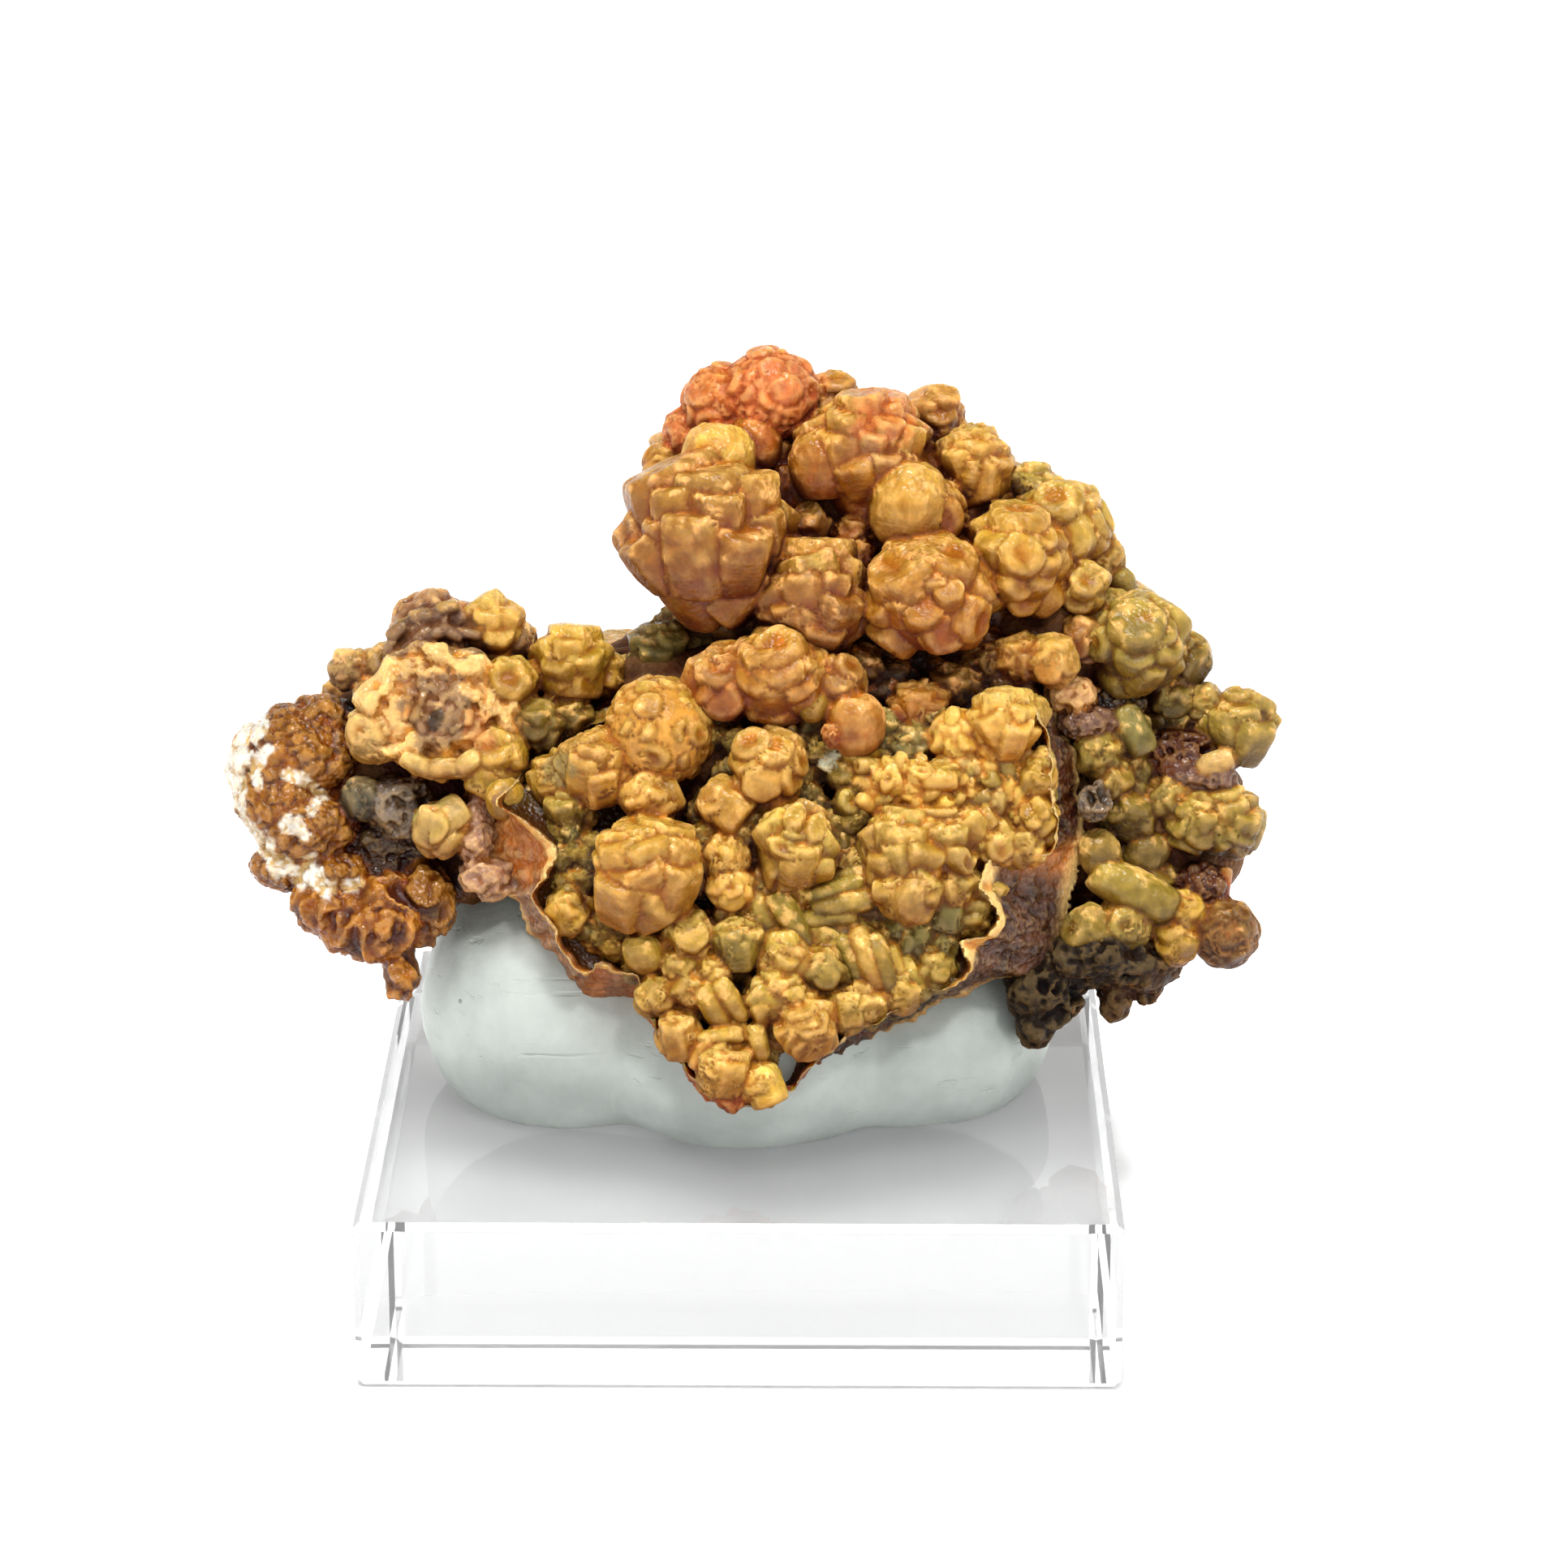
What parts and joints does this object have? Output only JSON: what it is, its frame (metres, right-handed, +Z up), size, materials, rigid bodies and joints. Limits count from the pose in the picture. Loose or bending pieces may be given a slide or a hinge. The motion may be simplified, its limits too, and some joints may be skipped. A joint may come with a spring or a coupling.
{
  "type": "pyromorphite mineral specimen on a clear block",
  "caption": "Rounded groups of orange-yellow barrel crystals on dark spongy matrix, pressed into a lump of pale tack on a square clear block.",
  "frame": {"origin": "centre of the clear block's underside", "axes": "+X to the viewer's right along the specimen's length, +Y away from the viewer, +Z up"},
  "size_m": [0.0551, 0.0382, 0.0477],
  "materials": {
    "pyromorphite": "waxy orange, honey and olive crystals with brown and cream breaks",
    "tack": "pale grey-white putty with a soft sheen",
    "clear_acrylic": "polished clear acrylic"
  },
  "bodies": {
    "root": {"pyromorphite_cluster": "pyromorphite", "mineral_tack": "tack", "acrylic_base": "clear_acrylic"}
  },
  "joints": []
}
